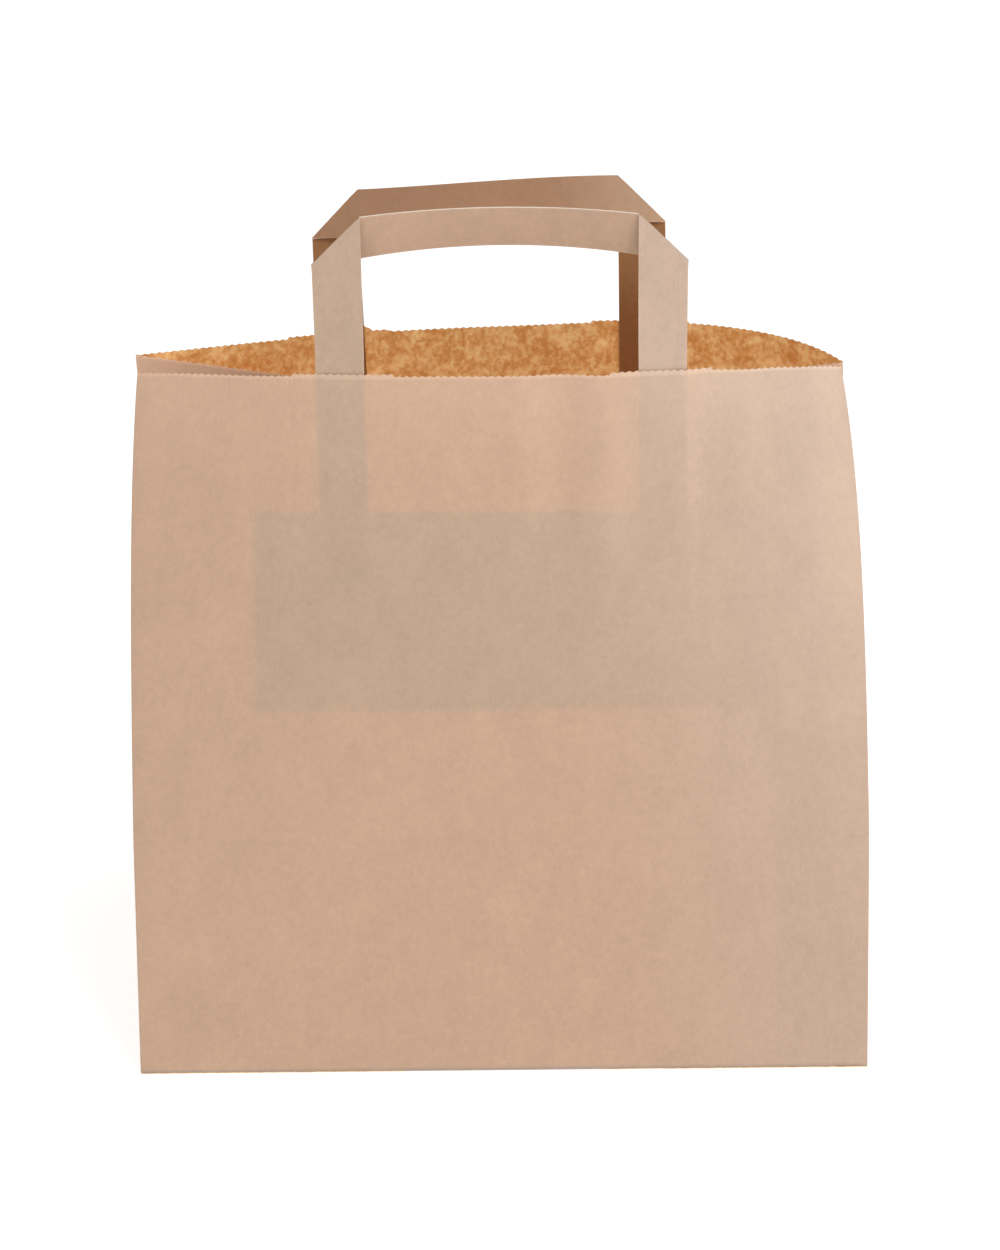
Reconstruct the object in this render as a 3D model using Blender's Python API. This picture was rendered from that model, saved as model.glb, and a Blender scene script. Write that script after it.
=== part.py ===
"""Flat-handled kraft paper carrier bag, standing open.

The bag is one folded sheet: two panels, two gussets folded inwards, a lengthwise glued seam
and a block bottom whose flaps overlap. Two flat handles, each a folded strip of paper, are
glued inside the panels under a paper patch.

Metres, +Z up. The origin is under the middle of the base. The front panel faces -Y.
"""

import math

import bmesh
import bpy
import numpy as np
from mathutils import Vector

# The bag's sheet
PANEL_WIDTH = 0.260
GUSSET_WIDTH = 0.170
BAG_HEIGHT = 0.250
PAPER = 0.00015
GLUE_GAP = 0.0003
FOLD_CHAMFER = 0.00035
CREASE_WIDTH = 0.0006

# How far the standing bag is open
LOWER_LEAN = math.radians(13.2)
LEFT_CORNER_GAP = 0.0203
RIGHT_CORNER_GAP = 0.0040
FRONT_BOW = 0.0329
FRONT_BOW_POWER = 2.4
FRONT_CROWN_POWER = 2.5
FRONT_SKEW = 0.10
BACK_BOW = 0.0200
BACK_BOW_POWER = 1.0
BACK_CROWN_POWER = 3.0
BACK_SKEW = 0.61
PANEL_BELLY = 0.001

# The lengthwise seam, on the front panel near its right fold
SEAM_TO_FOLD = 0.014
SEAM_WIDTH = 0.020

# The block bottom
FLAP_LAP = 0.020
FLAP_INSET = 0.0003

# The pinked top edge, raised a little where the handles leave the bag
TOOTH_PITCH = 0.0026
TOOTH_DEPTH = 0.0008
EDGE_BAND = 0.006
RAISED_EDGE = 0.0008
RAISED_OUTSIDE = 0.009
RAISED_INSIDE = 0.010

# The handles
STRIP_WIDTH = 0.0167
STRIP_THICKNESS = 0.0005
HANDLE_WIDTH = 0.1267
HANDLE_SHIFT = 0.0022
LEG_GLUED = 0.074
LEG_RISE = 0.0386
FRONT_LEG_TILT = math.radians(2.7)
BACK_LEG_TILT = math.radians(12.0)
FRONT_FOLD_OPENING = math.radians(22.8)
BACK_FOLD_OPENING = math.radians(20.5)
FOLD_SPACE = 0.0003

# The patches that hold the handles
PATCH_WIDTH = 0.180
PATCH_HEIGHT = 0.070
PATCH_BELOW_EDGE = 0.048
PATCH_SHIFT = 0.005
PATCH_RAMP = 0.003

# How finely curved surfaces are divided
PANEL_STEP = 0.010
GUSSET_COLUMNS = 6
LOWER_ROWS = 4
UPPER_ROWS = 7
LEG_ROWS = 6
BAR_SECTIONS = 10
PROFILE_STEPS = 60

FRONT = -1
BACK = 1
HALF_WIDTH = PANEL_WIDTH / 2
HALF_GUSSET = GUSSET_WIDTH / 2
FLOOR_HEIGHT = 2 * PAPER
FLAP_LENGTH = HALF_GUSSET + FLAP_LAP / 2

# Each panel's bow outwards at the mouth, how it grows up and across the panel, and its lean to +X
PANEL_SHAPE = {
    FRONT: (FRONT_BOW, FRONT_BOW_POWER, FRONT_CROWN_POWER, FRONT_SKEW),
    BACK: (BACK_BOW, BACK_BOW_POWER, BACK_CROWN_POWER, BACK_SKEW),
}
LEG_TILT = {FRONT: FRONT_LEG_TILT, BACK: BACK_LEG_TILT}
FOLD_OPENING = {FRONT: FRONT_FOLD_OPENING, BACK: BACK_FOLD_OPENING}

KRAFT = (0.57, 0.38, 0.26)
STRIP_KRAFT = (0.52, 0.36, 0.25)


def clear_scene():
    """Removes every object that the scene starts with."""
    for item in list(bpy.data.objects):
        bpy.data.objects.remove(item, do_unlink=True)


def make_material(name, colour, roughness):
    """A plain paper material."""
    material = bpy.data.materials.new(name)
    material.use_nodes = True
    shader = material.node_tree.nodes["Principled BSDF"]
    shader.inputs["Base Color"].default_value = (*colour, 1.0)
    shader.inputs["Roughness"].default_value = roughness
    shader.inputs["Metallic"].default_value = 0.0
    return material


def lerp(start, end, share):
    return start + (end - start) * share


def unit(vector):
    return vector / np.linalg.norm(vector)


def corner_gap(u):
    """Distance between the front and the back panel's folds, spread evenly across the mouth."""
    return lerp(LEFT_CORNER_GAP, RIGHT_CORNER_GAP, u / PANEL_WIDTH + 0.5)


def panel_distance(side, u, v):
    """Distance of a panel from the middle plane, u across from its centre line, v up from the base."""
    crease = HALF_GUSSET * (1.0 - math.sin(LOWER_LEAN))
    mouth = corner_gap(u) / 2
    if v < HALF_GUSSET:
        fold = lerp(HALF_GUSSET, crease, v / HALF_GUSSET)
    else:
        fold = lerp(crease, mouth, (v - HALF_GUSSET) / (BAG_HEIGHT - HALF_GUSSET))
    depth, bow_power, crown_power, skew = PANEL_SHAPE[side]
    crown = 1.0 - abs(u / HALF_WIDTH) ** crown_power
    bow = depth * (v / BAG_HEIGHT) ** bow_power * (1.0 + skew * u / HALF_WIDTH)
    belly = PANEL_BELLY * math.sin(math.pi * min(v / BAG_HEIGHT, 1.0))
    return fold + crown * (bow + belly)


def panel_rise(side, u, v):
    """Height above the base of a point v up the paper, which keeps its length along the slope."""
    step = v / PROFILE_STEPS
    if step == 0.0:
        return 0.0
    levels = [panel_distance(side, u, step * count) for count in range(PROFILE_STEPS + 1)]
    return sum(math.sqrt(step**2 - (after - before) ** 2) for before, after in zip(levels, levels[1:]))


def panel_half_span(side, u, v):
    """Distance sideways from the centre line, which keeps the paper's width along the bow."""
    step = u / PROFILE_STEPS
    levels = [panel_distance(side, step * count, v) for count in range(PROFILE_STEPS + 1)]
    span = sum(
        math.sqrt(max(step**2 - (after - before) ** 2, 0.0)) for before, after in zip(levels, levels[1:])
    )
    return math.copysign(span, u)


def panel_point(side, u, v):
    """A point of a panel's outer face."""
    span = panel_half_span(side, u, v)
    return np.array([span, side * panel_distance(side, u, v), FLOOR_HEIGHT + panel_rise(side, u, v)])


def panel_frame(side, u, v):
    """A panel point with its directions across (+X side), up the paper and into the bag."""
    nudge = 0.0005
    here = panel_point(side, u, v)
    across = unit(panel_point(side, u + nudge, v) - panel_point(side, u - nudge, v))
    up = unit(here - panel_point(side, u, v - nudge))
    inward = unit(np.cross(across, up)) * side
    return here, across, up, inward


def panel_layer(side, u, v, depth):
    """A point that lies depth behind a panel's outer face."""
    here, _, _, inward = panel_frame(side, u, v)
    return here + inward * depth


def gusset_apex(right):
    """Where a gusset's centre crease ends above the base, inside the bag."""
    fold = panel_point(FRONT, right * HALF_WIDTH, HALF_GUSSET)
    rise = fold[2] - FLOOR_HEIGHT
    height = (fold[1] ** 2 + rise**2) / (2 * rise)
    inset = math.sqrt(HALF_GUSSET**2 - height**2)
    return np.array([right * (HALF_WIDTH - inset), 0.0, FLOOR_HEIGHT + height])


def gusset_mouth(right):
    """The top end of a gusset's centre crease, as deep in the bag as half the gusset's width."""
    front = panel_point(FRONT, right * HALF_WIDTH, BAG_HEIGHT)
    apex = gusset_apex(right)
    crease_length = BAG_HEIGHT - HALF_GUSSET
    drop = 0.0
    for _ in range(12):
        inset = math.sqrt(HALF_GUSSET**2 - front[1] ** 2 - drop**2)
        x = front[0] - right * inset
        z = apex[2] + math.sqrt(crease_length**2 - (x - apex[0]) ** 2)
        drop = front[2] - z
    return np.array([x, 0.0, z])


def gusset_crease(right, side, v):
    """A gusset's inner crease line: up a diagonal from the corner, then up the centre."""
    apex = gusset_apex(right)
    corner = np.array([right * HALF_WIDTH, side * HALF_GUSSET, FLOOR_HEIGHT])
    half_crease = np.array([0.0, side * CREASE_WIDTH / 2, 0.0])
    if v < HALF_GUSSET:
        return lerp(corner, apex + half_crease, v / HALF_GUSSET)
    share = (v - HALF_GUSSET) / (BAG_HEIGHT - HALF_GUSSET)
    return lerp(apex, gusset_mouth(right), share) + half_crease


def gusset_point(right, side, share, v):
    """A point of half a gusset's outer face: share 0 at the panel's fold and 1 at the crease."""
    fold = panel_point(side, right * HALF_WIDTH, v)
    crease = gusset_crease(right, side, v)
    start = fold + np.array([0.0, -side * FOLD_CHAMFER, 0.0])
    return start if v == 0.0 else lerp(start, crease, share)


def tooth_height(along):
    """Zigzag of the pinked edge, zero at a valley and the tooth's depth at a tip."""
    phase = (along / TOOTH_PITCH) % 1.0
    return TOOTH_DEPTH * (1.0 - abs(2.0 * phase - 1.0))


def leg_centres():
    """Where a handle's legs lie across its panel, in the handle's own direction."""
    reach = (HANDLE_WIDTH - STRIP_WIDTH) / 2
    return HANDLE_SHIFT - reach, HANDLE_SHIFT + reach


def edge_rise(side, u):
    """How much higher than its neighbours the top edge is, beside a handle's legs."""
    local = -side * u
    left, right = leg_centres()
    half = STRIP_WIDTH / 2
    beside_left = left - half - RAISED_OUTSIDE < local < left + half + RAISED_INSIDE
    beside_right = right - half - RAISED_INSIDE < local < right + half + RAISED_OUTSIDE
    return RAISED_EDGE if beside_left or beside_right else 0.0


def spaced(start, end, step):
    """Evenly spaced values from start to end, as near to step apart as fits."""
    count = max(1, round(abs(end - start) / step))
    return [lerp(start, end, index / count) for index in range(count + 1)]


class Sheet:
    """A folded sheet, drawn as one face and then given its thickness."""

    def __init__(self):
        self.mesh = bmesh.new()
        self.outer_depth = {}
        self.inner_depth = {}
        self.places = {}

    def vertex(self, point, outer_depth, inner_depth):
        """A vertex at this point, the one already there if there is one."""
        key = tuple(round(float(value) * 1e6) for value in point)
        if key not in self.places:
            made = self.mesh.verts.new(Vector([float(value) for value in point]))
            self.places[key] = made
            self.outer_depth[made] = outer_depth
            self.inner_depth[made] = inner_depth
        return self.places[key]

    def face(self, *corners):
        """A face over the corners, leaving out repeated ones and faces with no area."""
        ring = []
        for corner in corners:
            if corner not in ring:
                ring.append(corner)
        if len(ring) > 2:
            self.mesh.faces.new(ring)

    def grid(self, rows):
        """Quads between neighbouring rows of vertices."""
        for low, high in zip(rows, rows[1:]):
            for index in range(len(low) - 1):
                self.face(low[index], low[index + 1], high[index + 1], high[index])

    def fan(self, low_left, low_right, top):
        """Triangles between one edge below and a run of vertices above it."""
        middle = len(top) // 2
        for index in range(middle):
            self.face(low_left, top[index + 1], top[index])
        self.face(low_left, low_right, top[middle])
        for index in range(middle, len(top) - 1):
            self.face(low_right, top[index + 1], top[index])

    def solid(self, name):
        """Closes the sheet into a solid between its outer and its inner depth."""
        mesh = self.mesh
        bmesh.ops.recalc_face_normals(mesh, faces=mesh.faces[:])
        mesh.normal_update()
        inward = {}
        for vertex in mesh.verts:
            normals = np.array([list(face.normal) for face in vertex.link_faces])
            target = np.full(len(normals), -1.0)
            inward[vertex] = np.linalg.lstsq(normals, target, rcond=0.25)[0]
        outer_faces = [face.verts[:] for face in mesh.faces]
        rim = [edge.verts[:] for edge in mesh.edges if edge.is_boundary]
        solid = bmesh.new()
        outer = {}
        inner = {}
        for vertex in mesh.verts:
            place = np.array(vertex.co)
            outer[vertex] = solid.verts.new(place + inward[vertex] * self.outer_depth[vertex])
            inner[vertex] = solid.verts.new(place + inward[vertex] * self.inner_depth[vertex])
        for ring in outer_faces:
            solid.faces.new([outer[vertex] for vertex in ring])
            solid.faces.new([inner[vertex] for vertex in reversed(ring)])
        for first, second in rim:
            solid.faces.new([outer[first], outer[second], inner[second], inner[first]])
        bmesh.ops.recalc_face_normals(solid, faces=solid.faces[:])
        bmesh.ops.triangulate(solid, faces=[face for face in solid.faces if len(face.verts) > 3])
        data = bpy.data.meshes.new(name)
        solid.to_mesh(data)
        solid.free()
        mesh.free()
        return data


def row_levels():
    """Heights up the paper at which the walls have a row of vertices."""
    lower = spaced(0.0, HALF_GUSSET, HALF_GUSSET / LOWER_ROWS)
    top = BAG_HEIGHT - EDGE_BAND
    upper = spaced(HALF_GUSSET, top, (top - HALF_GUSSET) / UPPER_ROWS)
    return lower + upper[1:]


def panel_columns(side):
    """Places across a panel with the depths of its outer and inner face there."""
    end = HALF_WIDTH
    if side == BACK:
        return [(u, 0.0, PAPER) for u in spaced(-end, end, PANEL_STEP)]
    under_ply = HALF_WIDTH - SEAM_TO_FOLD - SEAM_WIDTH
    over_ply = HALF_WIDTH - SEAM_TO_FOLD
    plain = [(u, 0.0, PAPER) for u in spaced(-end, under_ply, PANEL_STEP)]
    lapped = [(u, 0.0, 2 * PAPER) for u in spaced(under_ply + PAPER, over_ply, PANEL_STEP)]
    return plain + lapped + [(over_ply + PAPER, PAPER, 2 * PAPER), (end, 0.0, PAPER)]


def fine_between(start, end, along_of, point_of, sheet, depths):
    """Vertices of the pinked edge from one column to the next, both ends included."""
    first, last = sorted((along_of(start), along_of(end)))
    half_pitch = TOOTH_PITCH / 2
    between = []
    index = math.ceil((first + 0.2 * half_pitch) / half_pitch)
    while index * half_pitch < last - 0.2 * half_pitch:
        between.append((index * half_pitch - first) / (last - first))
        index += 1
    shares = [0.0] + between + [1.0]
    vertices = []
    for share in shares:
        if along_of(start) > along_of(end):
            place = lerp(end, start, share)
            depth = [lerp(depths[1][k], depths[0][k], share) for k in range(2)]
        else:
            place = lerp(start, end, share)
            depth = [lerp(depths[0][k], depths[1][k], share) for k in range(2)]
        vertices.append(sheet.vertex(point_of(place), *depth))
    if along_of(start) > along_of(end):
        vertices.reverse()
    return vertices


def draw_panel(sheet, side):
    """One panel's rows of vertices from the base up, with its pinked top edge."""
    columns = panel_columns(side)
    rows = [
        [sheet.vertex(panel_point(side, u, v), outer, inner) for u, outer, inner in columns]
        for v in row_levels()
    ]
    sheet.grid(rows)

    def edge_point(u):
        return panel_point(side, u, BAG_HEIGHT - TOOTH_DEPTH + tooth_height(u) + edge_rise(side, u))

    for index in range(len(columns) - 1):
        start, end = columns[index], columns[index + 1]
        depths = (start[1:], end[1:])
        top = fine_between(start[0], end[0], lambda u: u, edge_point, sheet, depths)
        sheet.fan(rows[-1][index], rows[-1][index + 1], top)
    return rows


def gusset_shares():
    return [index / GUSSET_COLUMNS for index in range(GUSSET_COLUMNS + 1)]


def draw_gusset(sheet, right):
    """One gusset: two halves folded into the bag, and the triangle below their crease."""
    depths = (0.0, PAPER)
    halves = {}
    for side in (FRONT, BACK):
        rows = [
            [sheet.vertex(gusset_point(right, side, share, v), *depths) for share in gusset_shares()]
            for v in row_levels()
        ]
        sheet.grid(rows)
        halves[side] = rows

        def edge_point(share, side=side):
            along = share * HALF_GUSSET
            return gusset_point(right, side, share, BAG_HEIGHT - TOOTH_DEPTH + tooth_height(along))

        for index in range(GUSSET_COLUMNS):
            start, end = gusset_shares()[index], gusset_shares()[index + 1]
            top = fine_between(
                start, end, lambda share: share * HALF_GUSSET, edge_point, sheet, (depths, depths)
            )
            sheet.fan(rows[-1][index], rows[-1][index + 1], top)
    for level in range(len(row_levels()) - 1):
        low_front, low_back = halves[FRONT][level][-1], halves[BACK][level][-1]
        high_front, high_back = halves[FRONT][level + 1][-1], halves[BACK][level + 1][-1]
        sheet.face(low_front, low_back, high_back, high_front)
    valley = BAG_HEIGHT - TOOTH_DEPTH + tooth_height(HALF_GUSSET)
    tips = [sheet.vertex(gusset_point(right, side, 1.0, valley), *depths) for side in (FRONT, BACK)]
    sheet.face(halves[FRONT][-1][-1], halves[BACK][-1][-1], tips[1], tips[0])
    return halves


def draw_fold(sheet, panel_rows, half_rows, right, side):
    """The narrow face along a fold between a panel and a gusset."""
    column = -1 if right > 0 else 0
    panel_line = [row[column] for row in panel_rows]
    gusset_line = [row[0] for row in half_rows]
    u = right * HALF_WIDTH
    panel_top = BAG_HEIGHT - TOOTH_DEPTH + tooth_height(u) + edge_rise(side, u)
    panel_line.append(sheet.vertex(panel_point(side, u, panel_top), 0.0, PAPER))
    gusset_top = BAG_HEIGHT - TOOTH_DEPTH + tooth_height(0.0)
    gusset_line.append(sheet.vertex(gusset_point(right, side, 0.0, gusset_top), 0.0, PAPER))
    for level in range(len(panel_line) - 1):
        sheet.face(panel_line[level], gusset_line[level], gusset_line[level + 1], panel_line[level + 1])


def draw_floor(sheet, panels):
    """The floor ply, from the front panel's lowest row to the back panel's."""
    front, back = panels[FRONT][0], panels[BACK][0]
    left_ends = [
        sheet.vertex(gusset_point(-1, side, 0.0, 0.0), 0.0, PAPER) for side in (FRONT, BACK)
    ]
    right_ends = [
        sheet.vertex(gusset_point(1, side, 0.0, 0.0), 0.0, PAPER) for side in (FRONT, BACK)
    ]
    ring = front + right_ends + back[::-1] + left_ends[::-1]
    sheet.face(*ring)


def prism(name, outline, bottom, top):
    """A flat plate with this outline between two heights."""
    mesh = bmesh.new()
    low = [mesh.verts.new((x, y, bottom)) for x, y in outline]
    high = [mesh.verts.new((x, y, top)) for x, y in outline]
    mesh.faces.new(low)
    mesh.faces.new(high)
    for index in range(len(outline)):
        after = (index + 1) % len(outline)
        mesh.faces.new([low[index], low[after], high[after], high[index]])
    bmesh.ops.recalc_face_normals(mesh, faces=mesh.faces[:])
    data = bpy.data.meshes.new(name)
    mesh.to_mesh(data)
    mesh.free()
    plate = bpy.data.objects.new(name, data)
    bpy.context.scene.collection.objects.link(plate)
    plate.hide_render = True
    plate.display_type = "WIRE"
    return plate


def bottom_flaps():
    """The flaps under and over the floor ply: front over back outside, gusset ends inside."""
    wide = HALF_WIDTH - FLAP_INSET
    deep = HALF_GUSSET - FLAP_INSET
    narrow = wide - deep - FLAP_LAP / 2
    lap = FLAP_LAP / 2
    middle = FLOOR_HEIGHT + PAPER / 2
    front = [(-wide, -deep), (wide, -deep), (narrow, lap), (-narrow, lap)]
    back = [(wide, deep), (-wide, deep), (-narrow, -lap), (narrow, -lap)]
    plates = [
        prism("front_flap", front, 0.0, middle),
        prism("back_flap", back, PAPER, middle),
    ]
    inside = 2 * PAPER + FLAP_INSET
    for right in (-1, 1):
        outer_end = right * (HALF_WIDTH - inside)
        inner_end = right * (HALF_WIDTH - FLAP_LENGTH)
        reach = HALF_GUSSET - inside
        outline = [(outer_end, -reach), (inner_end, -reach), (inner_end, reach), (outer_end, reach)]
        plates.append(prism("gusset_flap", outline, middle, FLOOR_HEIGHT + 2 * PAPER))
    return plates


def add_object(name, data, material):
    made = bpy.data.objects.new(name, data)
    bpy.context.scene.collection.objects.link(made)
    data.materials.append(material)
    return made


def make_bag_body():
    """The folded sheet that makes the whole bag."""
    sheet = Sheet()
    panels = {side: draw_panel(sheet, side) for side in (FRONT, BACK)}
    for right in (-1, 1):
        halves = draw_gusset(sheet, right)
        for side in (FRONT, BACK):
            draw_fold(sheet, panels[side], halves[side], right, side)
    draw_floor(sheet, panels)
    bag = add_object("bag_body", sheet.solid("bag_body"), make_material("kraft_paper", KRAFT, 0.75))
    for plate in bottom_flaps():
        union = bag.modifiers.new(plate.name, "BOOLEAN")
        union.operation = "UNION"
        union.object = plate
    return bag


def leg_path(side, centre):
    """A leg above the bag's edge, as frames of place, across and up directions."""
    glued_depth = PAPER + GLUE_GAP + STRIP_THICKNESS / 2
    here, across, up, inward = panel_frame(side, -side * centre, BAG_HEIGHT)
    place = here + inward * glued_depth
    across_end = np.array([1.0, 0.0, 0.0])
    up_end = np.array([0.0, side * math.sin(LEG_TILT[side]), math.cos(LEG_TILT[side])])
    step = LEG_RISE / LEG_ROWS
    frames = []
    for index in range(LEG_ROWS + 1):
        share = index / LEG_ROWS
        turned_up = unit(lerp(up, up_end, share))
        turned_across = lerp(across, across_end, share)
        turned_across = unit(turned_across - turned_up * np.dot(turned_across, turned_up))
        frames.append((place, turned_across, turned_up))
        place = place + turned_up * step
    return frames


def make_handle(name, side):
    """A folded strip: two legs glued inside a panel and a bar turned over between them."""
    sheet = Sheet()
    half = STRIP_WIDTH / 2
    half_thick = STRIP_THICKNESS / 2
    glued_depth = PAPER + GLUE_GAP + half_thick
    local_right = -side
    fold_drop = FOLD_SPACE + STRIP_THICKNESS

    def place_vertex(point):
        return sheet.vertex(point, -half_thick, half_thick)

    bar_ends = []
    for inner_sign, centre in zip((1, -1), leg_centres()):
        outer_u = local_right * (centre - inner_sign * half)
        inner_u = local_right * (centre + inner_sign * half)
        glued = []
        for v in spaced(BAG_HEIGHT - LEG_GLUED, BAG_HEIGHT, LEG_GLUED / 3)[:-1]:
            pair = (panel_layer(side, outer_u, v, glued_depth), panel_layer(side, inner_u, v, glued_depth))
            glued.append([place_vertex(point) for point in pair])
        toward_inner = inner_sign * local_right
        free = []
        for place, across, up in leg_path(side, centre):
            outer_point = place - across * toward_inner * half
            inner_point = place + across * toward_inner * half
            free.append([place_vertex(outer_point), place_vertex(inner_point)])
        sheet.grid(glued + free)
        across_in = across * toward_inner
        inward = unit(np.cross(across, up)) * side
        tip = inner_point + up * STRIP_WIDTH
        tip_vertex = place_vertex(tip)
        sheet.face(free[-1][0], free[-1][1], tip_vertex)
        set_back = inward * fold_drop
        opened = (1.0 - math.cos(FOLD_OPENING[side])) / 2
        swing = math.sin(FOLD_OPENING[side]) / math.sqrt(2.0)
        along = (1.0 - opened) * across_in + swing * inward + opened * up
        cross = opened * across_in - swing * inward + (1.0 - opened) * up
        bar_outer = place_vertex(outer_point + set_back)
        bar_tip = place_vertex(tip + set_back)
        sheet.face(free[-1][0], tip_vertex, bar_tip, bar_outer)
        low_start = outer_point + set_back + along * STRIP_WIDTH
        sheet.face(bar_outer, bar_tip, place_vertex(low_start))
        bar_ends.append((low_start, along, cross))
    (start, leaving, start_cross), (end, arriving, end_cross) = bar_ends
    reach = np.linalg.norm(end - start)
    sections = []
    for index in range(BAR_SECTIONS + 1):
        share = index / BAR_SECTIONS
        bend = reach * share * (1.0 - share) * (leaving * (1.0 - share) + arriving * share)
        smooth = share * share * (3.0 - 2.0 * share)
        low = lerp(start, end, smooth) + bend
        cross = unit(lerp(start_cross, end_cross, share))
        high = low + cross * STRIP_WIDTH
        sections.append([place_vertex(low), place_vertex(high)])
    sheet.grid(sections)
    return add_object(name, sheet.solid(name), make_material(name + "_paper", STRIP_KRAFT, 0.7))


def patch_depth(local_u, v):
    """Depth of a patch's middle behind its panel's face, deeper where it covers a leg."""
    flat = PAPER + GLUE_GAP + PAPER / 2
    raised = flat + STRIP_THICKNESS + GLUE_GAP
    half = STRIP_WIDTH / 2 + GLUE_GAP
    beside = min(abs(local_u - centre) for centre in leg_centres())
    below = (BAG_HEIGHT - LEG_GLUED - GLUE_GAP) - v
    away = max(beside - half, below, 0.0)
    share = min(away / PATCH_RAMP, 1.0)
    return lerp(raised, flat, share)


def make_patch(name, side):
    """The paper patch glued over a handle's legs, sunk to the panel beside them."""
    sheet = Sheet()
    local_right = -side
    low_u = PATCH_SHIFT - PATCH_WIDTH / 2
    high_u = PATCH_SHIFT + PATCH_WIDTH / 2
    half = STRIP_WIDTH / 2 + GLUE_GAP
    stops = [low_u]
    for centre in leg_centres():
        stops += [centre - half - PATCH_RAMP, centre - half, centre + half, centre + half + PATCH_RAMP]
    stops.append(high_u)
    across = []
    for start, end in zip(stops, stops[1:]):
        across += spaced(start, end, PANEL_STEP)[:-1]
    across.append(high_u)
    top = BAG_HEIGHT - PATCH_BELOW_EDGE
    leg_end = BAG_HEIGHT - LEG_GLUED - GLUE_GAP
    bottom = top - PATCH_HEIGHT
    levels = [bottom, (bottom + leg_end - PATCH_RAMP) / 2, leg_end - PATCH_RAMP, leg_end, top]
    rows = []
    for v in levels:
        row = []
        for local_u in across:
            point = panel_layer(side, local_right * local_u, v, patch_depth(local_u, v))
            row.append(sheet.vertex(point, -PAPER / 2, PAPER / 2))
        rows.append(row)
    sheet.grid(rows)
    return add_object(name, sheet.solid(name), make_material(name + "_paper", KRAFT, 0.75))


def main():
    clear_scene()
    make_bag_body()
    make_handle("front_handle", FRONT)
    make_handle("back_handle", BACK)
    make_patch("front_patch", FRONT)
    make_patch("back_patch", BACK)


main()
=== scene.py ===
"""Looks of the kraft paper carrier bag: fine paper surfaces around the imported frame.

The bag's sheet, handles and patches are drawn again from the same sizes as the solids, finer
and with the paper's small bends. Lengths are in metres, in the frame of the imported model.
"""

import math

import bpy
import numpy as np
from mathutils import Matrix, Vector


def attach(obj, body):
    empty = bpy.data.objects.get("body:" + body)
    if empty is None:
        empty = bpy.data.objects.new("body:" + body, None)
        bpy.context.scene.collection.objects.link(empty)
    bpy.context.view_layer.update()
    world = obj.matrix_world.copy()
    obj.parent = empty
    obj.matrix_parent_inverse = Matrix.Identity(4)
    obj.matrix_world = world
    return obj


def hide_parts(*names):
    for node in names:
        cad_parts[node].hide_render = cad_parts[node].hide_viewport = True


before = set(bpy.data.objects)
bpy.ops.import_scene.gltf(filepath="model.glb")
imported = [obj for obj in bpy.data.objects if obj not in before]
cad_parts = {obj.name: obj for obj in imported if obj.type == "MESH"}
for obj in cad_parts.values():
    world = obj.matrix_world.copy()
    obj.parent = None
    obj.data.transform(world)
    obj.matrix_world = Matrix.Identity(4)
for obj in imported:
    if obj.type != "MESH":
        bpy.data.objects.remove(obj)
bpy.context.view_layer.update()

# The bag's sheet
PANEL_WIDTH = 0.260
GUSSET_WIDTH = 0.170
BAG_HEIGHT = 0.250
PAPER = 0.00015
GLUE_GAP = 0.0003
CREASE_WIDTH = 0.0006
FOLD_RADIUS = 0.0012
BASE_RADIUS = 0.0014

# How far the standing bag is open
LOWER_LEAN = math.radians(13.2)
LEFT_CORNER_GAP = 0.0203
RIGHT_CORNER_GAP = 0.0040
FRONT_BOW = 0.0329
FRONT_BOW_POWER = 2.4
FRONT_CROWN_POWER = 2.5
FRONT_SKEW = 0.10
BACK_BOW = 0.0200
BACK_BOW_POWER = 1.0
BACK_CROWN_POWER = 3.0
BACK_SKEW = 0.61
PANEL_BELLY = 0.001

# The seam and the block bottom
SEAM_TO_FOLD = 0.014
SEAM_WIDTH = 0.020
SEAM_STEP = 0.0016
FLAP_LAP = 0.020
# How thick a flap is drawn, as a share of the paper, so that no flap touches the next
FLAP_PLY = 0.95

# The pinked top edge
TOOTH_PITCH = 0.0026
TOOTH_DEPTH = 0.00055
RAISED_EDGE = 0.0008
RAISED_OUTSIDE = 0.009
RAISED_INSIDE = 0.010

# The handles and their patches
STRIP_WIDTH = 0.0167
STRIP_THICKNESS = 0.0005
HANDLE_WIDTH = 0.1267
HANDLE_SHIFT = 0.0022
LEG_GLUED = 0.074
LEG_RISE = 0.0386
FOLD_SPACE = 0.0003
PATCH_WIDTH = 0.180
PATCH_HEIGHT = 0.070
PATCH_BELOW_EDGE = 0.048
PATCH_SHIFT = 0.005
PATCH_RAMP = 0.003

# How finely the surfaces are divided
TABLE_STEP = 0.0005
TABLE_PAST_EDGE = 0.005
MOUTH_ROUNDS = 12
COLUMN_STEP = 0.0026
ROW_STEP = 0.0034
EDGE_BAND = 0.0030
TOOTH_MARGIN = 0.2
BASE_EDGE_STEPS = 4
GUSSET_MIDDLE_STEPS = 40
FOLD_SHARES = (0.0, 0.25, 0.5, 0.75, 1.0)
GLUED_ROW_STEP = 0.006
LEG_STEPS = 16
BAR_STEPS = 30
STRIP_STEPS = 6
STRIP_SHARES = [index / STRIP_STEPS for index in range(STRIP_STEPS + 1)]
PATCH_ROW_STEP = 0.002
PATCH_COLUMN_STEP = 0.0015
SHARP_ANGLE = math.radians(50.0)
# Points in the same cell, of this many to a metre, are one vertex
VERTEX_CELLS = 2e6
# Least agreement of a vertex's direction with its faces, so that sharp folds grow no spikes
LEAST_AGREEMENT = 0.6

# Sides of the bag, and kinds of a strip's paper
FRONT = -1
BACK = 1
LEG = 1.0
BAR = 2.0

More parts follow.
